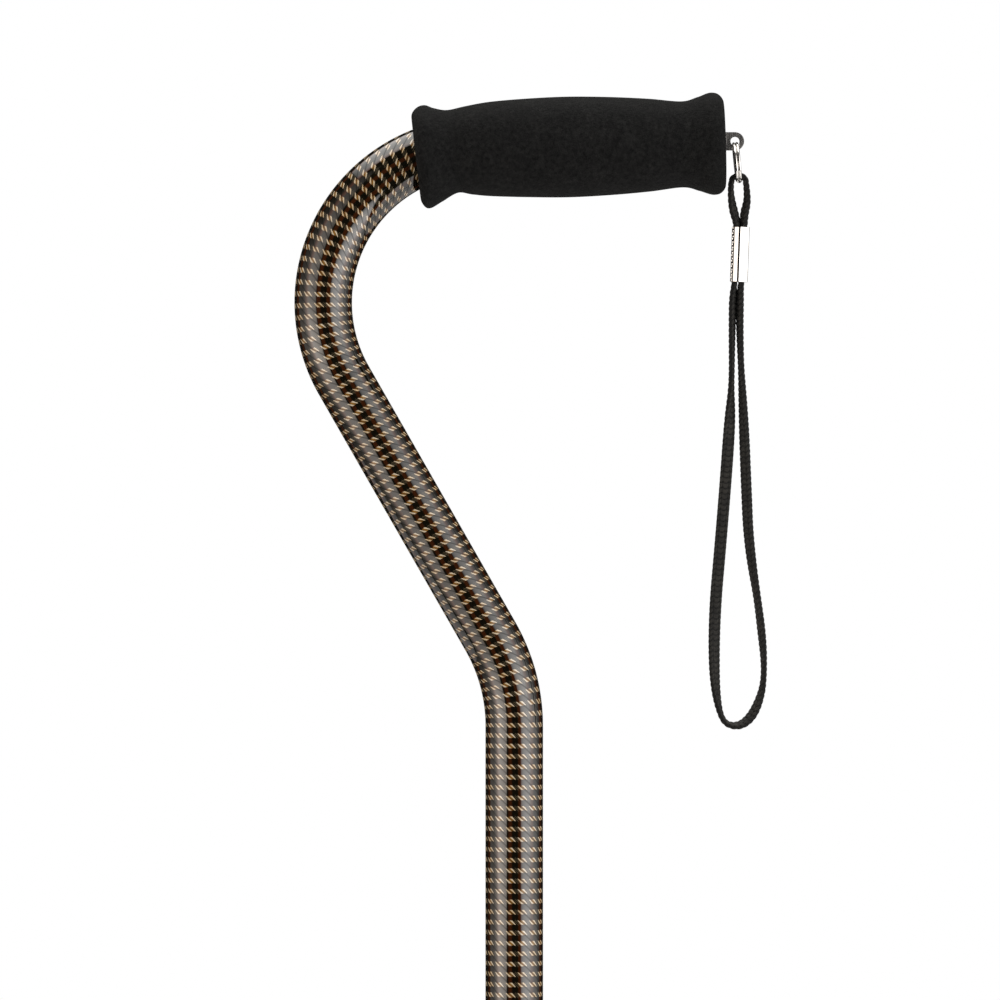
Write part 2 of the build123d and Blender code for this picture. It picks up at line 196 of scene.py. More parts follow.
def make_tube():
    """Outer and inner skins on one grid; round each hole the grid gives way to rings.

    A hole's patch is two halves wide and high, in steps of the grid."""
    around, half, rings = 72, 6, 4
    hole_radius, hole_pitch, holes = 4.3 * MM, 25.4 * MM, 10
    first_hole = tube_low.z + 28.0 * MM
    reach = tube_radius * math.sin(2 * math.pi * half / around)
    hole_heights = [first_hole + hole_pitch * k for k in range(holes)]
    hole_rows = [z + reach * k / half for z in hole_heights for k in range(-half, half + 1)]
    stations = tube_stations(hole_rows)
    rows = len(stations)
    points, faces, hole_edges = [], [], []
    patch_rows = [1 + k * (2 * half + 1) for k in range(holes)]
    inside = {(row + i, j) for row in patch_rows for i in range(2 * half) for j in range(-half, half)}
    rim = ([(0, j) for j in range(-half, half)] + [(i, half) for i in range(2 * half)]
           + [(2 * half, j) for j in range(half, -half, -1)] + [(i, -half) for i in range(2 * half, 0, -1)])
    for radius, outward in ((tube_radius, True), (tube_radius - wall, False)):
        start = len(points)
        for x, z, heading in stations:
            for j in range(around):
                b = 2 * math.pi * j / around
                off = radius * math.cos(b)
                point = (x + off * math.cos(heading), radius * math.sin(b), z + off * math.sin(heading))
                points.append(point)

        def quad(a, b, c, d):
            faces.append((a, b, c, d) if outward else (d, c, b, a))

        for i in range(rows - 1):
            for j in range(-around // 2, around // 2):
                if (i, j) not in inside:
                    low, high = start + i * around, start + (i + 1) * around
                    here, beside = j % around, (j + 1) % around
                    quad(low + here, low + beside, high + beside, high + here)
        for row, height in zip(patch_rows, hole_heights):
            previous = [start + (row + i) * around + j % around for i, j in rim]
            corners = [(points[k][1], points[k][2] - height) for k in previous]
            for ring in range(1, rings + 1):
                share = ring / rings
                current = []
                for y, up in corners:
                    a = math.atan2(up, y)
                    y += (hole_radius * math.cos(a) - y) * share
                    up += (hole_radius * math.sin(a) - up) * share
                    current.append(len(points))
                    points.append((math.sqrt(radius**2 - y**2), y, height + up))
                for k in range(len(rim)):
                    m = (k + 1) % len(rim)
                    quad(previous[k], previous[m], current[m], current[k])
                previous = current
            hole_edges.append(previous)
        ends = [[start + row * around + j for j in range(around)] for row in (0, rows - 1)]
        hole_edges += [list(reversed(ends[0])), ends[1]]
    # the wall between the skins, at the holes and at the tube's ends
    rims = len(hole_edges) // 2
    for outer, inner in zip(hole_edges[:rims], hole_edges[rims:]):
        for k in range(len(outer)):
            m = (k + 1) % len(outer)
            faces.append((outer[k], outer[m], inner[m], inner[k]))
    # the grid's points inside the patches belong to no face, and are left out
    used = sorted({k for face in faces for k in face})
    place = {k: i for i, k in enumerate(used)}
    faces = [tuple(place[k] for k in face) for face in faces]
    piece = new_piece("printed_shaft_tube", [points[k] for k in used], faces, "upper")
    piece.data.set_sharp_from_angle(angle=SHARP_EDGE)
    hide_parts("upper_tube")
    return piece


printed_shaft = make_tube()


# ---- wrist strap: a flat braid that twists as it hangs ----
strap_width = 5.0 * MM
strap_thickness = 2.15 * MM
# the strap's route, X and Z in mm: up from inside the ferrule, over the ring, down through the
# ferrule, round the wrist loop and back; it has more points than the CAD's, and is close to it
strap_route = [
    (88.2, 828.4),
    (88.5, 840.0),
    (88.7, 843.8),
    (89.9, 848.6),
    (89.6, 853.8),
    (89.0, 858.3),
    (84.1, 858.3),
    (83.4, 853.8),
    (83.8, 848.6),
    (84.8, 843.8),
    (86.0, 840.0),
    (85.4, 828.0),
    (85.0, 817.6),
    (84.3, 812.0),
    (84.0, 800.0),
    (83.8, 775.0),
    (82.1, 748.0),
    (79.6, 717.0),
    (77.2, 690.0),
    (77.0, 665.0),
    (79.0, 651.2),
    (82.0, 646.3),
    (88.2, 646.3),
    (93.4, 652.4),
    (96.9, 665.0),
    (94.8, 689.0),
    (90.4, 716.0),
    (89.4, 740.0),
    (88.3, 768.0),
    (87.0, 794.0),
    (86.9, 812.0),
    (87.6, 817.6),
    (88.1, 826.6),
]
# how far the braid has turned from edge-on, in degrees, at places up from the ferrule, over the
# ring, down the left strand, round the bottom and up the right strand
strap_turns = [
    (88.4, 837.0, 8),
    (88.6, 840.5, 26),
    (88.9, 843.8, 38),
    (89.6, 849.0, 10),
    (89.4, 855.0, 6),
    (86.6, 860.0, 0),
    (83.6, 855.0, 5),
    (83.9, 849.0, 14),
    (84.8, 843.8, 44),
    (85.9, 840.5, 26),
    (86.0, 837.0, 8),
    (85.4, 828.0, 0),
    (85.0, 817.6, 0),
    (84.3, 812.0, 24),
    (84.2, 806.0, 20),
    (84.0, 783.0, 6),
    (83.7, 775.0, 10),
    (83.2, 767.0, 45),
    (82.8, 759.0, 66),
    (81.9, 747.0, 86),
    (80.0, 724.0, 88),
    (77.8, 692.0, 76),
    (77.4, 670.0, 54),
    (78.1, 657.0, 26),
    (80.3, 649.3, 0),
    (83.5, 646.6, 6),
    (86.6, 646.3, 24),
    (90.0, 648.3, 40),
    (92.6, 651.6, 38),
    (94.8, 655.6, 26),
    (95.9, 661.0, 8),
    (95.8, 667.0, 2),
    (95.2, 682.0, 24),
    (92.8, 697.0, 17),
    (90.9, 713.0, 38),
    (89.8, 733.0, 47),
    (88.9, 757.0, 44),
    (88.3, 770.0, 28),
    (87.4, 784.0, 6),
    (87.0, 806.0, 20),
    (87.0, 812.0, 24),
    (87.5, 818.0, 0),
]


def braid_surface(line, along, turns, squeeze):
    """Rings of a flat braid: slanting stitches in lanes, with scalloped edges.

    Gives the points, their faces, and how far each point stands on a stitch's crown."""
    around, lanes = 48, 4
    stitch = 2.1 * MM
    relief = 0.36 * MM
    squareness = 0.62
    groove, roundness = 0.25, 0.6
    mean_crown = 0.55
    edge_relief = 0.55
    # the stitches stand out past this section
    half_width = strap_width / 2 - 0.45 * relief
    half_depth = strap_thickness / 2 - 0.20 * relief
    tangent = np.gradient(line, axis=0)
    tangent /= np.linalg.norm(tangent, axis=1)[:, None]
    sideways = np.array([0.0, 1.0, 0.0])
    depthways = np.cross(tangent, sideways)
    angles = 2 * np.pi * (np.arange(around) + 0.5) / around
    across = np.sign(np.cos(angles)) * np.abs(np.cos(angles)) ** squareness
    deep = np.sign(np.sin(angles)) * np.abs(np.sin(angles)) ** squareness
    # the lanes' stitches lean one way and the other in turn, and those on one broad side are half
    # a stitch further on than those on the other
    place_in_lanes = (across + 1) / 2 * lanes
    lane = np.minimum(np.floor(place_in_lanes), lanes - 1)
    in_lane = place_in_lanes - lane - 0.5
    lane_crown = np.sqrt(np.maximum(0.0, 1 - (2 * in_lane) ** 2))
    lean = np.where(lane % 2 == 0, 1.0, -1.0)
    further_on = np.where(deep >= 0, 0.0, 0.5)
    outward = np.stack([across * half_depth, deep * half_width], axis=1)
    outward /= np.linalg.norm(outward, axis=1)[:, None]
    rings, crowns = [], []
    for place, centre, depth, turn, narrow in zip(along, line, depthways, turns, squeeze):
        phase = place / stitch + further_on + 0.5 * lean * in_lane
        swell = np.abs(np.cos(np.pi * phase)) ** roundness
        crown = (groove + (1 - groove) * lane_crown) * swell
        height = relief * (crown - mean_crown) * narrow
        c, s = math.cos(turn), math.sin(turn)
        wide = c * sideways + s * depth
        thick = -s * sideways + c * depth
        x = across * half_width * narrow + outward[:, 0] * height * edge_relief
        y = deep * half_depth + outward[:, 1] * height
        rings.append(centre + x[:, None] * wide + y[:, None] * thick)
        crowns.append(crown)
    return np.concatenate(rings), tube_faces(len(line), around), np.concatenate(crowns)


def make_strap():
    """The braid, which follows the smooth spline of its route, and the line along its middle."""
    ring_step = 0.28 * MM
    search = 160
    soft_reach = 30
    pinch, recovery = 0.12, 6 * MM
    route = [(x * MM, 0.0, z * MM) for x, z in strap_route]
    line, along = evenly(spline_points(route, steps=24), ring_step)
    # each place is looked for a little way on from the last, because the strands lie close together
    stations, degrees, found = [], [], 0
    for x, z, turn in strap_turns:
        ahead = line[found:found + search]
        found += int(np.linalg.norm(ahead - np.array([x * MM, 0.0, z * MM]), axis=1).argmin())
        stations.append(along[found])
        degrees.append(turn)
    turns = np.radians(np.interp(along, stations, degrees))
    soften = np.hanning(2 * soft_reach + 1)
    turns = np.convolve(np.pad(turns, soft_reach, mode="edge"), soften / soften.sum(), mode="valid")
    # the ferrule squeezes both strands, and the braid widens again over a few millimetres
    from_ferrule = np.maximum(ferrule_low.z - line[:, 2], line[:, 2] - ferrule_high.z)
    squeeze = 1 - pinch + pinch * np.clip(from_ferrule / recovery, 0, 1)
    points, faces, crowns = braid_surface(line, along, turns, squeeze)
    piece = new_piece("braided_strap", points, faces, "strap")
    piece.data.attributes.new("crown", "FLOAT", "POINT").data.foreach_set("value", crowns)
    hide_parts("wrist_strap")
    return piece, line


strap, strap_line = make_strap()


# ---- ferrule: a crimped sleeve with a toothed seam ----
def make_ferrule():
    """A rolled sleeve, pinched to a ridge in front; its toothed seam is beside the grip."""
    height = 21.2 * MM
    middle = (ferrule_low + ferrule_high) / 2
    lean = math.radians(2.2)
    up = Vector((math.sin(lean), 0, math.cos(lean)))
    right = Vector((math.cos(lean), 0, -math.sin(lean)))
    back = Vector((0, 1, 0))
    # corners of the section in mm, to the right and to the back, each with its rounding
    section = [
        (-3.4, 0.9, 0.8),
        (-2.55, -2.0, 0.9),
        (-0.5, -3.45, 1.5),
        (3.35, -1.1, 0.9),
        (3.2, 1.7, 1.2),
        (1.6, 3.2, 1.2),
        (-1.6, 3.2, 1.2),
        (-3.2, 1.9, 0.8),
    ]
    sheet, lip = 0.40 * MM, 0.15 * MM
    least_rounding = 0.25 * MM
    steps, levels, inner_levels, on_seam = 10, 132, 6, 14
    seam_depth, seam_half, seam_steepness = 0.34 * MM, 0.20 * MM, 1.6
    teeth, tooth, slope = 10, 0.36 * MM, 0.125

    def outline(inset):
        """Points round the section, with rounded corners, taken in by the inset."""
        points = []
        count = len(section)
        for k, (x, y, radius) in enumerate(section):
            here = Vector((x, y)) * MM
            before = (Vector(section[k - 1][:2]) * MM - here).normalized()
            after = (Vector(section[(k + 1) % count][:2]) * MM - here).normalized()
            half_angle = before.angle(after) / 2
            inward = (before + after).normalized()
            centre = here + inward * radius * MM / math.sin(half_angle)
            size = max(radius * MM - inset, least_rounding)
            swing = math.pi / 2 - half_angle
            start = math.atan2(-inward.y, -inward.x)
            for j in range(steps + 1):
                a = start - swing + 2 * swing * j / steps
                points.append(Vector((centre.x + size * math.cos(a), centre.y + size * math.sin(a))))
        low, high = points[steps], points[steps + 1]
        seam = [low.lerp(high, (k + 1) / (on_seam + 1)) for k in range(on_seam)]
        return points[:steps + 1] + seam + points[steps + 1:]

    around = len(outline(0.0))
    rows = [(-height / 2, sheet), (-height / 2, sheet * 0.5), (-height / 2 + lip * 0.3, lip * 0.3)]
    rows += [(height * (k / levels - 0.5), 0.0) for k in range(1, levels)]
    rows += [(height / 2 - lip * 0.3, lip * 0.3), (height / 2, sheet * 0.5), (height / 2, sheet)]
    points = []
    for z, inset in rows:
        # the seam steps from side to side, with a short slope between two steps
        wave = (z / height + 0.5) * teeth % 1.0
        from_slope = min(wave % 0.5, 0.5 - wave % 0.5)
        shift = tooth * (1 if wave < 0.5 else -1) * min(1.0, from_slope / slope)
        ring = outline(inset)
        low, high = ring[steps], ring[steps + on_seam + 1]
        span = high - low
        inward = Vector((-span.y, span.x)).normalized()
        for k in range(on_seam):
            offset = ((k + 1) / (on_seam + 1) - 0.5) * span.length - shift
            inside = max(0.0, 1 - abs(offset) / (2 * seam_half))
            dip = seam_depth * min(1.0, seam_steepness * inside)
            ring[steps + 1 + k] = ring[steps + 1 + k] + inward * dip
        for px, py in ring:
            points.append(middle + px * right + py * back + z * up)
    faces = tube_faces(len(rows), around, closed_ends=False)
    start = len(points)
    inner_height = height - 0.02 * MM
    inner = [(k / inner_levels - 0.5) * inner_height for k in range(inner_levels + 1)]
    for z in inner:
        for px, py in outline(sheet):
            points.append(middle + px * right + py * back + z * up)
    inner_faces = tube_faces(len(inner), around, closed_ends=False, start=start)
    faces += [tuple(reversed(f)) for f in inner_faces]
    top, last = (len(rows) - 1) * around, start + (len(inner) - 1) * around
    for j in range(around):
        k = (j + 1) % around
        faces.append((j, start + j, start + k, k))
        faces.append((top + j, top + k, last + k, last + j))
    piece = new_piece("crimped_ferrule", points, faces, "strap")
    piece.data.set_sharp_from_angle(angle=SHARP_EDGE)
    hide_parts("strap_ferrule")
    return piece


ferrule = make_ferrule()


# ---- split ring: one wire in two turns, with a jog where the turns change places ----
def make_split_ring():
    """A coil of two turns, which hangs a little below the CAD ring; its cut ends meet the jog."""
    wire = 0.56 * MM
    radius = 7.35 * MM
    tilt = math.radians(6.0)
    offset = 0.60 * MM
    sag = 0.35 * MM
    jog = math.radians(36)
    overlap = jog * 0.1
    count, around = 260, 20
    end_size, end_rings = 0.82, 3
    middle = (ring_low + ring_high) / 2 - Vector((0, 0, sag))
    across = Vector((math.cos(tilt), 0, math.sin(tilt)))
    upward = Vector((-math.sin(tilt), 0, math.cos(tilt)))
    side = Vector((0, 1, 0))
    sweep = 4 * math.pi - jog + overlap
    first = -sweep / 2 - math.pi / 2
    points = []
    for i in range(count):
        turned = sweep * i / (count - 1)
        crossed = min(1.0, max(0.0, (turned - (sweep - jog) / 2) / jog))
        shift = offset * (2 * crossed * crossed * (3 - 2 * crossed) - 1)
        a = first + turned
        radial = math.cos(a) * side + math.sin(a) * upward
        centre = middle + radius * radial + shift * across
        from_end = min(i, count - 1 - i)
        size = wire * (end_size + (1 - end_size) * min(1.0, from_end / end_rings))
        for j in range(around):
            b = 2 * math.pi * j / around
            points.append(centre + size * (math.cos(b) * radial + math.sin(b) * across))
    faces = tube_faces(count, around)
    piece = new_piece("split_ring_coil", points, faces, "ring")
    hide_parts("split_ring")
    return piece


split_ring = make_split_ring()


# ---- foam grip ----
# place along X, radius, and how far the foam's middle hangs below the tube's axis, in mm, and
# the lean of the section in degrees, as in the CAD source
grip_sections = [
    (-37.9, 18.9, 4.2, 5.2),
    (-33.6, 19.9, 3.8, 2.6),
    (-29.4, 18.1, 3.2, 4.0),
    (-23.8, 16.1, 2.0, 6.2),
    (-17.4, 17.1, 1.7, 3.0),
    (-9.0, 18.2, 1.4, 0.0),
    (5.0, 19.0, 1.3, 0.0),
    (20.7, 19.4, 1.3, 0.0),
    (37.0, 18.9, 1.3, 0.0),
    (52.0, 17.9, 1.3, 0.0),
    (64.7, 16.6, 1.3, 0.0),
    (71.0, 18.1, 1.3, 0.0),
    (76.2, 19.7, 1.3, 0.4),
    (81.2, 18.8, 1.4, 0.4),
]


def smooth_columns(table, count):
    """The table's rows joined by a smooth curve through them, sampled evenly by row."""
    table = np.array(table, float)
    padded = np.vstack([2 * table[0] - table[1], table, 2 * table[-1] - table[-2]])
    samples = []
    for t in np.linspace(0, len(table) - 1, count):
        i = min(int(t), len(table) - 2)
        f = t - i
        p0, p1, p2, p3 = padded[i:i + 4]
        curved = (2 * p0 - 5 * p1 + 4 * p2 - p3) * f * f + (3 * p1 - p0 - 3 * p2 + p3) * f**3
        samples.append(0.5 * (2 * p1 + (p2 - p0) * f + curved))
    return np.array(samples)


def make_grip():
    """The foam's skin from lip to lip, with rolled ends that close on the tube."""
    around, rows, closing_steps = 128, 620, 6
    edge = 3.2 * MM
    seat_radius = tube_radius + 0.05 * MM
    side = Vector((0, 1, 0))
    start, end = grip_sections[0][0], grip_sections[-1][0]
    loops = []
    for x, radius, lower, lean in smooth_columns(grip_sections, rows).tolist():
        along = handle_rise + math.radians(lean)
        from_end = min(x - start, end - x) * MM
        rolled = min(1.0, max(0.0, 1 - from_end / edge))
        size = radius * MM - edge * (1 - math.sqrt(1 - rolled**2))
        z = handle_z + math.tan(handle_rise) * (x * MM - crook_x) - lower * MM
        loops.append((Vector((x * MM, 0, z)), size, Vector((math.cos(along), 0, math.sin(along)))))

    def closing(loop):
        """Loops that go in from an end of the foam to the tube."""
        centre, face, axis = loop
        shares = [k / closing_steps for k in range(1, closing_steps + 1)]
        return [(centre, face + (seat_radius - face) * share, axis) for share in shares]

    loops = list(reversed(closing(loops[0]))) + loops + closing(loops[-1])
    points = []
    for centre, radius, axis in loops:
        upward = axis.cross(side)
        for j in range(around):
            a = 2 * math.pi * j / around
            points.append(centre + radius * (math.cos(a) * upward + math.sin(a) * side))
    faces = tube_faces(len(loops), around, closed_ends=False)
    piece = new_piece("foam_grip_skin", points, faces, "upper")
    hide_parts("foam_grip")
    return piece


grip = make_grip()


# ---- material helpers ----
class Nodes:
    """One material's node tree, with short calls to add and link nodes."""

    def __init__(self, name):
        self.material = bpy.data.materials.new(name)
        self.material.use_nodes = True
        self.tree = self.material.node_tree
        self.shader = self.tree.nodes["Principled BSDF"]
        self.place = self.add("ShaderNodeTexCoord").outputs["Object"]

    def add(self, kind, inputs=None, **settings):
        """A node of this kind; each input is a value, or a socket to link from."""
        node = self.tree.nodes.new(kind)
        for key, value in settings.items():
            setattr(node, key, value)
        for key, value in (inputs or {}).items():
            self.put(node.inputs[key], value)
        return node

    def put(self, socket, value):
        if isinstance(value, bpy.types.NodeSocket):
            self.tree.links.new(value, socket)
        else:
            socket.default_value = value

    def maths(self, operation, *values):
        """The result of an operation on numbers or sockets."""
        node = self.add("ShaderNodeMath", operation=operation)
        for socket, value in zip(node.inputs, values):
            self.put(socket, value)
        return node.outputs[0]

    def scaled(self, factors):
        """Object coordinates times a factor on each axis."""
        node = self.add("ShaderNodeMapping", {"Vector": self.place, "Scale": factors})
        return node.outputs[0]

    def noise(self, scale, detail=3.0, roughness=0.5, vector=None):
        """Cloudy noise over the object, or over another vector."""
        node = self.add(
            "ShaderNodeTexNoise",
            {"Vector": vector or self.place, "Scale": scale, "Detail": detail, "Roughness": roughness},
        )
        return node.outputs["Fac"]

    def ramp(self, value, low, high, to_low=0.0, to_high=1.0):
        """The value from low to high, mapped and clamped."""
        node = self.add(
            "ShaderNodeMapRange",
            {"Value": value, "From Min": low, "From Max": high, "To Min": to_low, "To Max": to_high},
        )
        return node.outputs["Result"]

    def mix(self, share, first, second):
        """A colour between two."""
        node = self.add("ShaderNodeMix", data_type="RGBA")
        self.put(node.inputs["Factor"], share)
        self.put(node.inputs[6], first)
        self.put(node.inputs[7], second)
        return node.outputs[2]

    def bump(self, height, distance, strength=1.0, normal=None):
        """A normal bumped by a height, on top of another normal if there is one."""
        node = self.add("ShaderNodeBump", {"Height": height, "Distance": distance, "Strength": strength})
        if normal is not None:
            self.put(node.inputs["Normal"], normal)
        return node.outputs[0]

    def finish(self, **sockets):
        """Sets the shader's sockets and returns the material."""
        for key, value in sockets.items():
            self.put(self.shader.inputs[key.replace("_", " ")], value)
        return self.material


def colour(r, g, b):
    return (r, g, b, 1.0)


# ---- materials ----
def printed_tube():
    """Glossy printed aluminium: rows of paired slanting dashes over near-black."""
    n = Nodes("printed_tube")
    split = n.add("ShaderNodeSeparateXYZ", {"Vector": n.place})
    x, y, z = split.outputs

    def length_of(first, second):
        squares = n.maths("ADD", n.maths("POWER", first, 2.0), n.maths("POWER", second, 2.0))
        return n.maths("SQRT", squares)

    # elbow: an arc about a centre at x = -elbow_radius
    arc_x = n.maths("ADD", x, elbow_radius)
    arc_up = n.maths("SUBTRACT", z, elbow_start)
    turned = n.maths("ARCTAN2", arc_up, arc_x)
    elbow_off = n.maths("SUBTRACT", length_of(arc_x, arc_up), elbow_radius)
    elbow_along = n.maths("MULTIPLY_ADD", turned, elbow_radius, elbow_start)
    # slanted run: square to and along its own line
    run_x = n.maths("SUBTRACT", x, slant_x)
    run_z = n.maths("SUBTRACT", z, slant_z)
    rise_off = n.maths("MULTIPLY", run_z, math.sin(slant))
    rise_on = n.maths("MULTIPLY", run_z, math.cos(slant))
    slant_off = n.maths("MULTIPLY_ADD", run_x, math.cos(slant), rise_off)
    slant_on = n.maths("MULTIPLY_ADD", run_x, -math.sin(slant), rise_on)
    slant_from = elbow_start + elbow_radius * slant
    slant_along = n.maths("ADD", slant_on, slant_from)
    # crook: an arc from the end of the slanted run
    past = n.maths("SUBTRACT", slant_on, slant_length)
    inward = n.maths("SUBTRACT", crook_radius, slant_off)
    crook_off = n.maths("SUBTRACT", crook_radius, length_of(past, inward))
    crook_turned = n.maths("ARCTAN2", past, inward)
    crook_along = n.maths("MULTIPLY_ADD", crook_turned, crook_radius, slant_from + slant_length)
    in_elbow = n.maths("GREATER_THAN", z, elbow_start)
    in_slant = n.maths("MULTIPLY", in_elbow, n.maths("GREATER_THAN", turned, slant))
    in_crook = n.maths("MULTIPLY", in_slant, n.maths("GREATER_THAN", past, 0.0))

    def choose(shaft, elbow, slanted, crook):
        value = shaft
        for share, other in ((in_elbow, elbow), (in_slant, slanted), (in_crook, crook)):
            value = n.maths("MULTIPLY_ADD", share, n.maths("SUBTRACT", other, value), value)
        return value

    off = choose(x, elbow_off, slant_off, crook_off)
    along = choose(z, elbow_along, slant_along, crook_along)
    angle = n.maths("ARCTAN2", off, n.maths("MULTIPLY", y, -1.0))
    radius = length_of(off, y)

    # the print: columns round the tube and rows along it; the two counts are those in front and
    # at one height, set to the photo's print there, and large enough to stay above zero
    columns, pitch = 15, 3.99 * MM
    column_count, row_count, row_height = 40.85, 300.42, 606.5 * MM
    across = n.maths("MULTIPLY_ADD", angle, columns / (2 * math.pi), column_count)
    upward = n.maths("MULTIPLY_ADD", along, 1 / pitch, row_count - row_height / pitch)
    u = n.maths("FRACT", across)
    v = n.maths("SUBTRACT", n.maths("FRACT", upward), 0.5)
    column = n.maths("FLOOR", across)
    row = n.maths("FLOOR", upward)
    cell = n.add("ShaderNodeCombineXYZ", {"X": column, "Y": row}).outputs[0]
    white_noise = n.add("ShaderNodeTexWhiteNoise", {"Vector": cell}, noise_dimensions="2D")
    random_cell = white_noise.outputs["Value"]
    soft_side, soft_end = 0.03, 0.04

    def dash(middle, slope, half, widen, low, high):
        """A slanting dash from low to high in each cell; widen makes one end the wider."""
        centre = n.maths("MULTIPLY_ADD", v, slope, middle)
        size = n.maths("MULTIPLY_ADD", v, widen, half)
        wrapped = n.maths("FRACT", n.maths("ADD", n.maths("SUBTRACT", u, centre), 0.5))
        away = n.maths("ABSOLUTE", n.maths("SUBTRACT", wrapped, 0.5))
        inside = n.ramp(n.maths("SUBTRACT", size, away), -soft_side, soft_side)
        above = n.ramp(v, low - soft_end, low + soft_end)
        below = n.ramp(v, high - soft_end, high + soft_end, 1.0, 0.0)
        return n.maths("MULTIPLY", inside, n.maths("MULTIPLY", above, below))

    left_dash = dash(middle=0.335, slope=-0.88, half=0.072, widen=-0.16, low=-0.20, high=0.20)
    right_dash = dash(middle=0.755, slope=-0.86, half=0.068, widen=0.14, low=-0.20, high=0.21)
    dashes = n.maths("MAXIMUM", left_dash, right_dash)
    fine_one = dash(middle=0.98, slope=-0.88, half=0.022, widen=0.0, low=-0.26, high=0.16)
    fine_two = dash(middle=1.15, slope=-0.88, half=0.022, widen=0.0, low=-0.16, high=0.26)
    fine = n.maths("MAXIMUM", fine_one, fine_two)
    # a brown thread up each column, not in the same place in all of them
    wander = n.maths("FRACT", n.maths("MULTIPLY_ADD", column, 0.3, 0.96))
    thread_middle = n.maths("MULTIPLY_ADD", wander, 0.25, 0.26)
    thread_away = n.maths("ABSOLUTE", n.maths("SUBTRACT", u, thread_middle))
    thread = n.ramp(thread_away, 0.11, 0.19, 1.0, 0.0)
    # gold between the two dashes
    between_middle = n.maths("MULTIPLY_ADD", v, -0.65, 0.56)
    between_away = n.maths("ABSOLUTE", n.maths("SUBTRACT", u, between_middle))
    between_sides = n.ramp(between_away, 0.06, 0.14, 1.0, 0.0)
    between_ends = n.ramp(n.maths("ABSOLUTE", v), 0.15, 0.22, 1.0, 0.0)
    between = n.maths("MULTIPLY", between_sides, between_ends)
    # a dull slanting thread joins each row's dashes to the next column's in the row below
    joined = n.maths("FRACT", n.maths("ADD", n.maths("ADD", u, v), -0.06))
    slash = n.ramp(n.maths("ABSOLUTE", n.maths("SUBTRACT", joined, 0.5)), 0.05, 0.11, 1.0, 0.0)
    golden = n.ramp(random_cell, 0.0, 1.0, 0.95, 0.35)
    weave = n.noise(900.0, detail=2.0)
    ground = n.mix(weave, colour(0.0012, 0.0010, 0.0004), colour(0.0050, 0.0038, 0.0015))
    brown = n.mix(thread, ground, colour(0.025, 0.0062, 0.001))
    gold = n.mix(n.maths("MULTIPLY", between, golden), brown, colour(0.190, 0.092, 0.017))
    cream = n.mix(random_cell, colour(0.470, 0.395, 0.285), colour(0.430, 0.315, 0.180))
    lined = n.mix(fine, gold, colour(0.082, 0.064, 0.036))
    printed = n.mix(dashes, lined, cream)
    # the skin is printed, and the aluminium of the bore and the holes is bare
    bare = n.ramp(radius, tube_radius - 0.10 * MM, tube_radius - 0.04 * MM, 1.0, 0.0)
    shine = n.maths("MULTIPLY_ADD", slash, -0.22, 0.5)
    base = n.mix(bare, printed, colour(0.62, 0.62, 0.63))
    waviness = n.bump(n.noise(260.0, detail=1.0), 0.01 * MM, 0.2)
    return n.finish(
        Base_Color=base,
        Metallic=bare,
        Roughness=n.ramp(bare, 0.0, 1.0, 0.055, 0.34),
        IOR=1.72,
        Specular_IOR_Level=n.maths("MULTIPLY_ADD", dashes, 0.26, shine),
        Normal=waviness,
    )


def black_foam():
    """Closed-cell foam: matt, mottled, with a fine open grain."""
    n = Nodes("black_foam")
    mottle = n.noise(620.0, detail=5.0, roughness=0.7)
    cloud = n.noise(170.0, detail=3.0, roughness=0.6)
    grain = n.add("ShaderNodeTexVoronoi", {"Vector": n.place, "Scale": 1300.0}).outputs["Distance"]
    tone = n.maths("MULTIPLY", n.ramp(mottle, 0.34, 0.70), n.ramp(cloud, 0.25, 0.75, 0.55, 1.25))
    coarse = n.bump(n.noise(800.0, detail=4.0, roughness=0.65), 0.45 * MM, 0.8)
    fine = n.bump(grain, 0.22 * MM, 0.6, coarse)
    return n.finish(
        Base_Color=n.mix(tone, colour(0.0017, 0.0018, 0.0019), colour(0.0110, 0.0110, 0.0107)),
        Roughness=n.ramp(mottle, 0.3, 0.7, 0.82, 0.97),
        Specular_IOR_Level=0.10,
        Normal=fine,
    )


def nickel(name, smooth, rough):
    """Nickel plate with faint handling scratches, bright or tumbled to satin."""
    n = Nodes(name)
    cloud = n.noise(180.0, detail=4.0)
    scratches = n.noise(1.0, detail=2.0, vector=n.scaled((2600.0, 500.0, 260.0)))
    return n.finish(
        Base_Color=n.mix(cloud, colour(0.82, 0.79, 0.75), colour(0.92, 0.905, 0.88)),
        Metallic=1.0,
        Roughness=n.ramp(scratches, 0.35, 0.75, smooth, rough),
        Normal=n.bump(scratches, 0.01 * MM, 0.2),
    )


def black_braid():
    """Black polyester braid with fine filaments; painted shade darkens the creases between stitches."""
    n = Nodes("black_braid")
    filaments = n.noise(2600.0, detail=3.0, roughness=0.6)
    tone = n.noise(240.0, detail=3.0)
    crown = n.add("ShaderNodeAttribute", attribute_name="crown").outputs["Fac"]
    dark, pale = colour(0.0072, 0.0069, 0.0062), colour(0.0205, 0.0190, 0.0160)
    worn = n.mix(n.ramp(tone, 0.3, 0.7), dark, pale)
    return n.finish(
        # painted shade: where the braid is low between stitch crowns its colour goes near-black, as if
        # shaded there
        Base_Color=n.mix(n.ramp(crown, 0.2, 0.8), colour(0.0007, 0.0007, 0.0007), worn),
        Roughness=n.ramp(filaments, 0.3, 0.7, 0.62, 0.85),
        Specular_IOR_Level=0.22,
        Sheen_Weight=0.03,
        Normal=n.bump(filaments, 0.12 * MM, 0.7),
    )


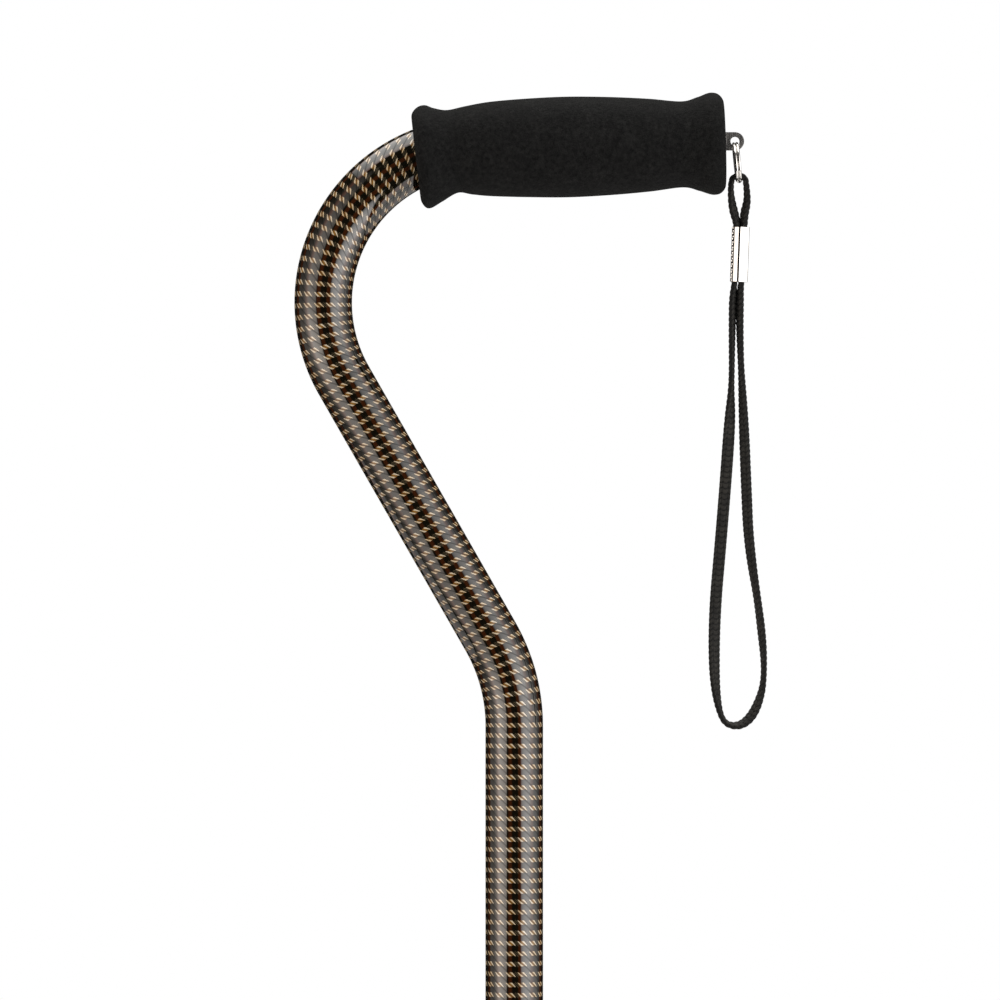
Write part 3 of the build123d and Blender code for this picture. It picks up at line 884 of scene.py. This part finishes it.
def dark_anodised():
    """Dark anodised tube, drawn lengthways, with slide marks."""
    n = Nodes("dark_anodised")
    drawn = n.noise(1.0, detail=3.0, roughness=0.6, vector=n.scaled((2200.0, 2200.0, 9.0)))
    marks = n.noise(1.0, detail=2.0, roughness=0.5, vector=n.scaled((600.0, 600.0, 14.0)))
    dark, pale = colour(0.050, 0.046, 0.043), colour(0.115, 0.108, 0.10)
    return n.finish(
        Base_Color=n.mix(n.ramp(marks, 0.55, 0.75), dark, pale),
        Metallic=0.85,
        Roughness=n.ramp(drawn, 0.3, 0.7, 0.26, 0.42),
        Normal=n.bump(drawn, 0.02 * MM, 0.35),
    )


def moulded(name, dark, pale, rough, grain_scale, depth):
    """Moulded plastic with a spark-eroded grain, its depth in mm."""
    n = Nodes(name)
    grain = n.noise(grain_scale, 3.0, 0.6)
    tone = n.noise(60.0, detail=2.0)
    return n.finish(
        Base_Color=n.mix(tone, dark, pale),
        Roughness=n.ramp(grain, 0.3, 0.7, rough - 0.07, rough + 0.08),
        Normal=n.bump(grain, depth * MM, 0.6),
    )


def powder_coat():
    """Satin black powder coat with orange peel and a faint cloudy tone."""
    n = Nodes("black_powder_coat")
    peel = n.noise(520.0, detail=2.0, roughness=0.45)
    tone = n.noise(35.0, detail=3.0)
    return n.finish(
        Base_Color=n.mix(tone, colour(0.011, 0.011, 0.0115), colour(0.02, 0.0195, 0.019)),
        Roughness=n.ramp(peel, 0.3, 0.7, 0.30, 0.44),
        Normal=n.bump(peel, 0.10 * MM, 0.45),
    )


def zinc_hardware():
    """Zinc plated steel with a faint passivated mottle."""
    n = Nodes("zinc_hardware")
    mottle = n.noise(300.0, detail=4.0, roughness=0.6)
    return n.finish(
        Base_Color=n.mix(mottle, colour(0.52, 0.53, 0.55), colour(0.68, 0.66, 0.60)),
        Metallic=1.0,
        Roughness=n.ramp(mottle, 0.3, 0.7, 0.24, 0.42),
        Normal=n.bump(mottle, 0.03 * MM, 0.4),
    )


def spring_steel():
    """Blued spring strip, rolled lengthways."""
    n = Nodes("spring_steel")
    rolled = n.noise(1.0, detail=2.0, vector=n.scaled((900.0, 3000.0, 30.0)))
    return n.finish(
        Base_Color=n.mix(rolled, colour(0.30, 0.31, 0.34), colour(0.48, 0.47, 0.46)),
        Metallic=1.0,
        Roughness=n.ramp(rolled, 0.3, 0.7, 0.22, 0.38),
        Normal=n.bump(rolled, 0.02 * MM, 0.4),
    )


def tip_rubber():
    """Black rubber, matt, with a dusty bloom."""
    n = Nodes("tip_rubber")
    bloom = n.noise(120.0, detail=5.0, roughness=0.6)
    grain = n.noise(1400.0, detail=3.0, roughness=0.6)
    dark, pale = colour(0.012, 0.012, 0.012), colour(0.030, 0.029, 0.027)
    return n.finish(
        Base_Color=n.mix(n.ramp(bloom, 0.4, 0.75), dark, pale),
        Roughness=n.ramp(grain, 0.3, 0.7, 0.68, 0.86),
        Specular_IOR_Level=0.3,
        Normal=n.bump(grain, 0.08 * MM, 0.5),
    )


finishes = {
    "printed_tube": printed_tube(),
    "black_foam": black_foam(),
    "nickel_plate": nickel("bright_nickel", smooth=0.07, rough=0.16),
    "black_braid": black_braid(),
    "dark_anodised": dark_anodised(),
    "black_plastic": moulded(
        "black_plastic",
        dark=colour(0.012, 0.012, 0.013),
        pale=colour(0.018, 0.018, 0.018),
        rough=0.42,
        grain_scale=1100.0,
        depth=0.05,
    ),
    "collar_plastic": moulded(
        "collar_plastic",
        dark=colour(0.013, 0.013, 0.013),
        pale=colour(0.021, 0.021, 0.021),
        rough=0.58,
        grain_scale=800.0,
        depth=0.08,
    ),
    "black_powder_coat": powder_coat(),
    "zinc_hardware": zinc_hardware(),
    "spring_steel": spring_steel(),
    "tip_rubber": tip_rubber(),
}
satin_nickel = nickel("satin_nickel", smooth=0.24, rough=0.36)

# every CAD node takes the finish of its slot in the record, but the lug and its pin are satin
for subpart in frame["record"]["subparts"]:
    cad = nodes[subpart["node"]]
    cad.data.materials.clear()
    cad.data.materials.append(finishes[subpart["material_slot"]])
for name in ("strap_lug", "lug_pin"):
    nodes[name].data.materials[0] = satin_nickel
for piece, slot in (
    (strap, "black_braid"),
    (ferrule, "nickel_plate"),
    (split_ring, "nickel_plate"),
    (grip, "black_foam"),
    (printed_shaft, "printed_tube"),
):
    piece.data.materials.append(finishes[slot])

# the lug's stamped edges are a little rounded
rounded = nodes["strap_lug"].modifiers.new("rounded_edges", "BEVEL")
rounded.width = 0.32 * MM
rounded.segments = 3
rounded.harden_normals = True


# ---- the leaf springs behind the buttons, copied onto the stem in place of the CAD springs ----
def yielding_spring(button):
    """A copy of the spring in the stem, with a mesh of its own; the CAD spring is hidden."""
    node = button + "_spring"
    spring = bpy.data.objects.new(button + "_leaf", nodes[node].data.copy())
    bpy.context.scene.collection.objects.link(spring)
    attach(spring, "stem")
    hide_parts(node)
    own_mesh(spring)


yielding_spring("height_button")
yielding_spring("base_button")


# ---- floor, lights and surroundings ----
def make_floor():
    """A plain pale disc that reaches to the two standing panels."""
    radius, back, steps = 1.43, 0.75, 128
    angles = [2 * math.pi * k / steps for k in range(steps)]
    rim = [(radius * math.cos(a), back + radius * math.sin(a), 0.0) for a in angles]
    mesh = bpy.data.meshes.new("floor")
    mesh.from_pydata(rim, [], [tuple(range(steps))])
    floor = bpy.data.objects.new("floor", mesh)
    bpy.context.scene.collection.objects.link(floor)
    n = Nodes("pale_floor")
    mesh.materials.append(n.finish(
        Base_Color=n.mix(n.noise(3.0), colour(0.66, 0.66, 0.66), colour(0.70, 0.70, 0.695)),
        Roughness=0.9,
    ))


def soft_panel(name, centre, away, width, height, brightness, tint, across, upward):
    """A soft light that faces along -away; its two profiles are pairs of a share and a level."""
    data = bpy.data.lights.new(name, "AREA")
    data.shape = "RECTANGLE"
    data.size, data.size_y = width, height
    data.energy = brightness * math.pi * width * height
    data.color = tint
    data.use_nodes = True
    tree = data.node_tree
    place = tree.nodes.new("ShaderNodeSeparateXYZ")
    tree.links.new(tree.nodes.new("ShaderNodeNewGeometry").outputs["Parametric"], place.inputs[0])
    product = tree.nodes.new("ShaderNodeMath")
    product.operation = "MULTIPLY"
    for axis, profile in enumerate((across, upward)):
        ramp = tree.nodes.new("ShaderNodeValToRGB")
        tree.links.new(place.outputs[axis], ramp.inputs[0])
        tree.links.new(ramp.outputs[0], product.inputs[axis])
        stops = ramp.color_ramp.elements
        for share, _ in profile[1:-1]:
            stops.new(share)
        for stop, (share, level) in zip(stops, profile):
            stop.position = share
            stop.color = (level, level, level, 1)
    tree.links.new(product.outputs[0], tree.nodes["Emission"].inputs["Strength"])
    light = bpy.data.objects.new(name, data)
    light.location = centre
    light.rotation_euler = (-away).to_track_quat("-Z", "Y").to_euler()
    light.visible_camera = False
    bpy.context.scene.collection.objects.link(light)


def standing_panel(name, azimuth, distance, profile, heights, tint):
    """An upright panel beside the cane; azimuth 0 is in front of the cane, 90 to its right.

    The profile is pairs of an azimuth and the brightness there, and the heights are pairs
    of a height above the floor and a factor; their first and last are the panel's edges."""
    fade = 0.006
    a = math.radians(azimuth)
    away = Vector((math.sin(a), -math.cos(a), 0))
    reach = [distance * math.tan(math.radians(place - azimuth)) for place, _ in profile]
    half = max(abs(place) for place in reach)
    peak = max(level for _, level in profile)
    shares = [0.5 + place / (2 * half) for place in reach]
    across = sorted((share, level / peak) for share, (_, level) in zip(shares, profile))
    first, last = max(0.0, across[0][0] - fade), min(1.0, across[-1][0] + fade)
    across = [(first, 0.0)] + across + [(last, 0.0)]
    low, high = heights[0][0], heights[-1][0]
    upward = [((z - low) / (high - low), factor) for z, factor in heights]
    centre = away * distance + Vector((0, 0, (low + high) / 2))
    soft_panel(name, centre, away, 2 * half, high - low, peak, tint, across, upward)


def surroundings():
    """White behind the cane; dim in reflections, so that only the panels show there."""
    in_reflections, on_rough_surfaces = 0.02, 0.45
    world = bpy.data.worlds.new("studio")
    world.use_nodes = True
    tree = world.node_tree
    background = tree.nodes["Background"]
    rays = tree.nodes.new("ShaderNodeLightPath")
    seen = tree.nodes.new("ShaderNodeMath")
    seen.operation = "MULTIPLY_ADD"
    tree.links.new(rays.outputs["Is Camera Ray"], seen.inputs[0])
    seen.inputs[1].default_value = 1.0 - in_reflections
    seen.inputs[2].default_value = in_reflections
    fill = tree.nodes.new("ShaderNodeMath")
    fill.operation = "MULTIPLY_ADD"
    tree.links.new(rays.outputs["Is Diffuse Ray"], fill.inputs[0])
    fill.inputs[1].default_value = on_rough_surfaces
    tree.links.new(seen.outputs[0], fill.inputs[2])
    background.inputs["Color"].default_value = colour(1.0, 1.0, 1.0)
    tree.links.new(fill.outputs[0], background.inputs["Strength"])
    bpy.context.scene.world = world
    bpy.context.scene.view_settings.view_transform = "Standard"


make_floor()
surroundings()
standing_panel(
    "left_panel",
    azimuth=-70,
    distance=1.15,
    profile=[
        (-112, 0.4), (-90, 0.65), (-80, 1.3), (-72, 2.1), (-67, 3.1),
        (-62, 3.75), (-51, 3.5), (-39, 3.0), (-33, 2.4), (-30, 1.2),
    ],
    heights=[
        (0.02, 0.35), (0.16, 0.42), (0.35, 0.7), (0.5, 1.0), (0.66, 1.0),
        (0.85, 0.6), (1.15, 0.45), (1.45, 0.22), (1.9, 0.04),
    ],
    tint=(1.0, 0.91, 0.83),
)
standing_panel(
    "right_panel",
    azimuth=68,
    distance=1.15,
    profile=[
        (26.5, 0.9), (31, 2.2), (36, 2.9), (42, 3.3), (47, 3.7), (60, 4.0), (66, 3.2),
        (70, 2.6), (76, 2.1), (86, 1.5), (97, 1.1), (103, 0.85), (109, 0.4), (122, 0.05),
    ],
    heights=[(0.02, 0.8), (0.2, 1.0), (0.85, 1.0), (1.05, 0.75), (1.3, 0.55), (1.8, 0.35)],
    tint=(1.0, 0.97, 0.945),
)
soft_edges = [(0.0, 0.35), (0.15, 1.0), (0.85, 1.0), (1.0, 0.35)]
soft_panel(
    "top_panel",
    centre=Vector((-0.1, 0.25, 2.05)),
    away=Vector((0, 0, 1)),
    width=2.2,
    height=1.9,
    brightness=3.1,
    tint=(1.0, 0.985, 0.95),
    across=soft_edges,
    upward=soft_edges,
)
